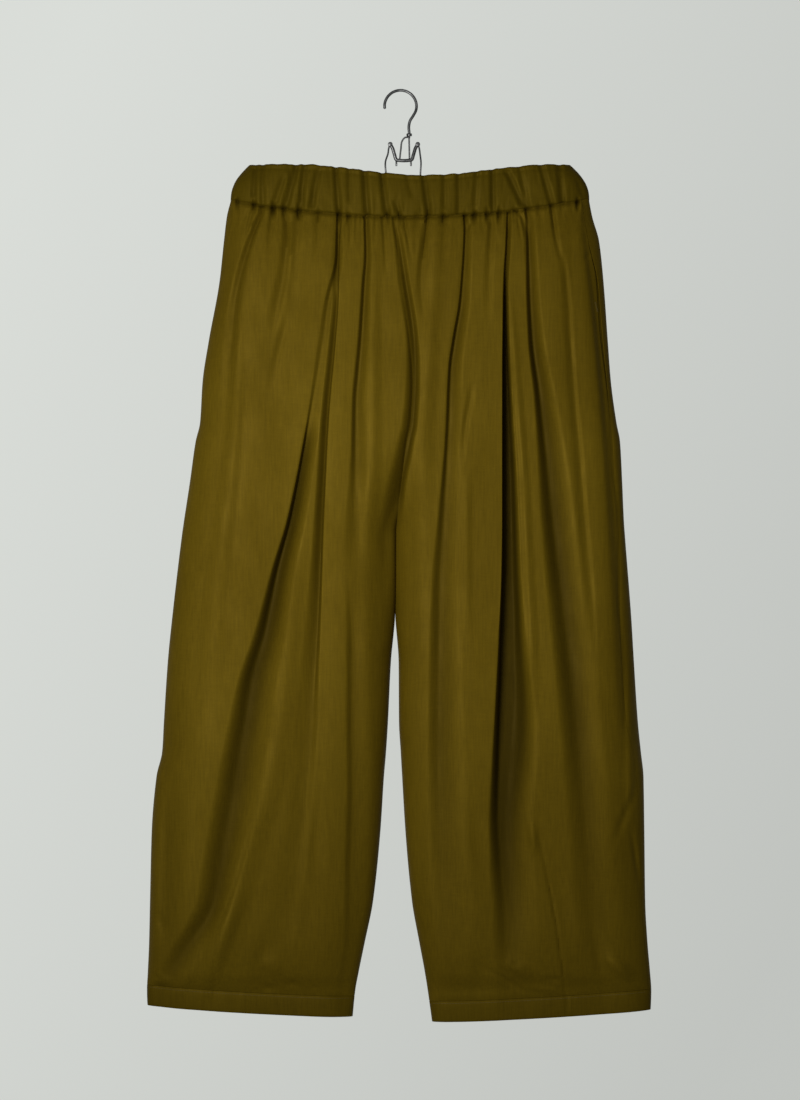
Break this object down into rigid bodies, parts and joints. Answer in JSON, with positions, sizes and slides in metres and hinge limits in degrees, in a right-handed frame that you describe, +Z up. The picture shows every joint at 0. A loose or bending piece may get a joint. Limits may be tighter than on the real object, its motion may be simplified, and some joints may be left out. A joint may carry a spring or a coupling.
{
  "type": "balloon trousers on a wire hanger",
  "caption": "Wide balloon-leg satin trousers with a gathered elastic waistband, soft pleats and side pockets, hung flat on a wire hanger.",
  "frame": {"origin": "underside of the hook's arch at its highest point, where a wall hook or rail carries the hanger", "axes": "+Z up, the front of the trousers faces -Y, +X to the right as seen from the front"},
  "size_m": [0.58, 0.0708, 1.0723],
  "materials": {
    "satin": "olive satin weave, soft sheen",
    "waistband": "olive satin weave, gathered on elastic",
    "wire": "dull nickel-plated wire"
  },
  "bodies": {
    "root": {"front_left": "satin", "front_right": "satin", "back_left": "satin", "back_right": "satin", "waistband": "waistband", "hem_left": "satin", "hem_right": "satin", "pocket_facing_left": "satin", "pocket_facing_right": "satin", "hanger_hook": "wire", "hanger_collar": "wire", "hanger_bail": "wire", "hanger_yoke": "wire", "hanger_arm_left": "wire", "hanger_arm_right": "wire", "hanger_end_left": "wire", "hanger_end_right": "wire"}
  },
  "joints": []
}
